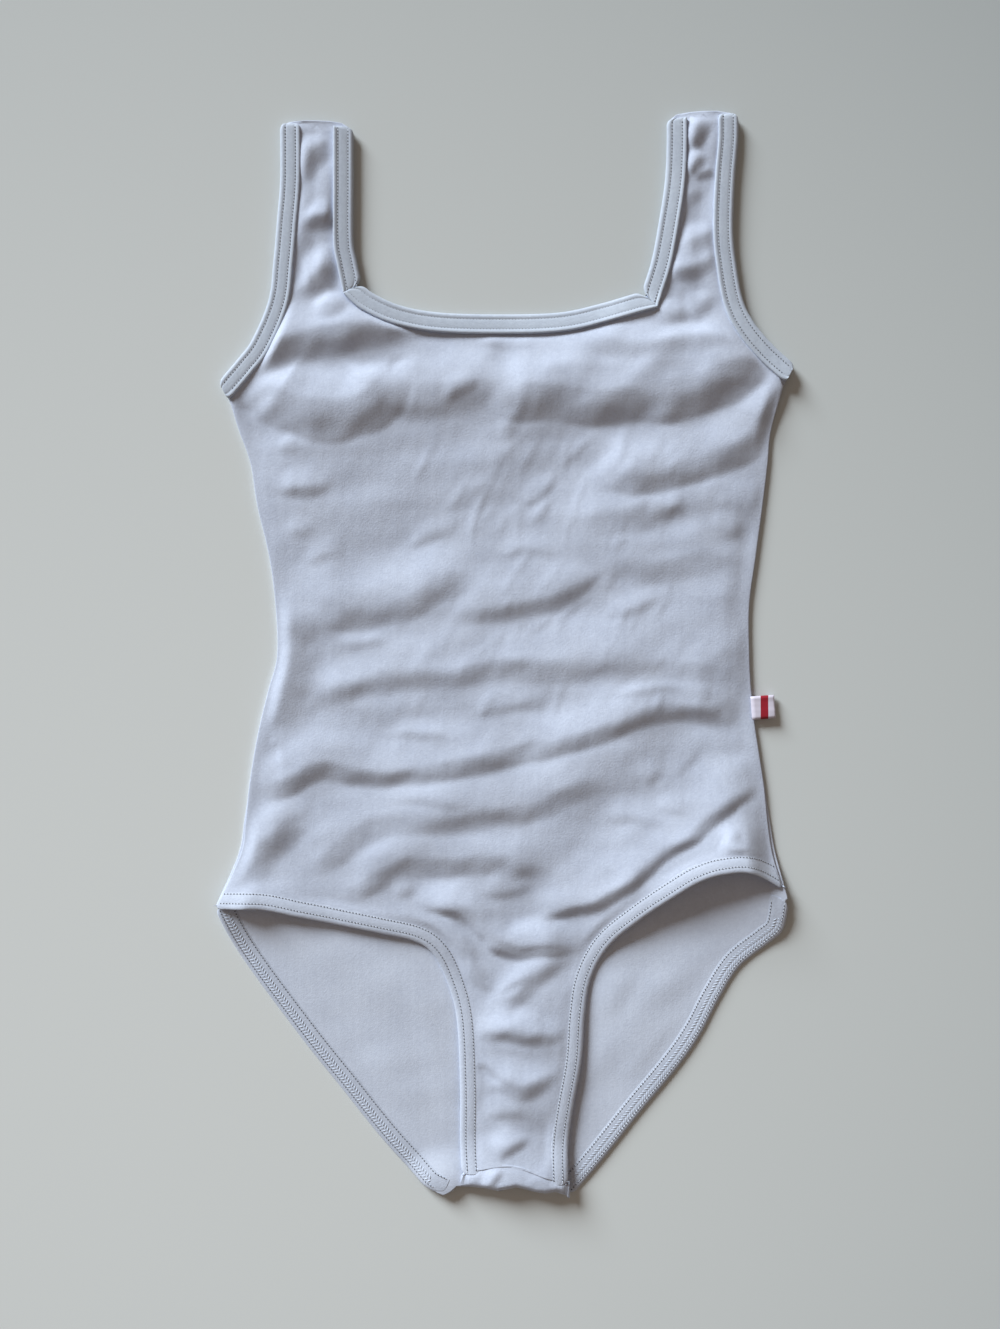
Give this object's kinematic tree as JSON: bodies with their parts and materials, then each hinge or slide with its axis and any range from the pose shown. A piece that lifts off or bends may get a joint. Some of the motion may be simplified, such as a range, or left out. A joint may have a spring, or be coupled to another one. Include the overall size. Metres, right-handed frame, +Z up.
{
  "type": "leotard",
  "caption": "Sleeveless tank leotard in white stretch knit lying flat: low front neckline, wide bound straps, cut-away legs with turned hems, closed crotch and a side seam tag.",
  "frame": {"origin": "under the middle of the garment's box, on the surface that it lies on", "axes": "+X to the viewer's right as the garment lies face up, +Y from the crotch to the straps, +Z up from the surface"},
  "size_m": [0.3484, 0.6498, 0.0188],
  "materials": {
    "knit": "matte brushed stretch knit, cotton and elastane, optic white",
    "binding": "slightly smoother knit strip, folded and stitched, cooler white",
    "ribbon": "woven satin ribbon, plain"
  },
  "bodies": {
    "root": {"back_panel": "knit", "front_panel": "knit", "gusset_turn": "knit", "neck_binding_front": "binding", "neck_binding_back": "binding", "armhole_binding_left_front": "binding", "armhole_binding_left_back": "binding", "armhole_binding_right_front": "binding", "armhole_binding_right_back": "binding", "leg_hem_left_front": "knit", "leg_hem_left_back": "knit", "leg_hem_right_front": "knit", "leg_hem_right_back": "knit", "side_tag": "ribbon"}
  },
  "joints": []
}
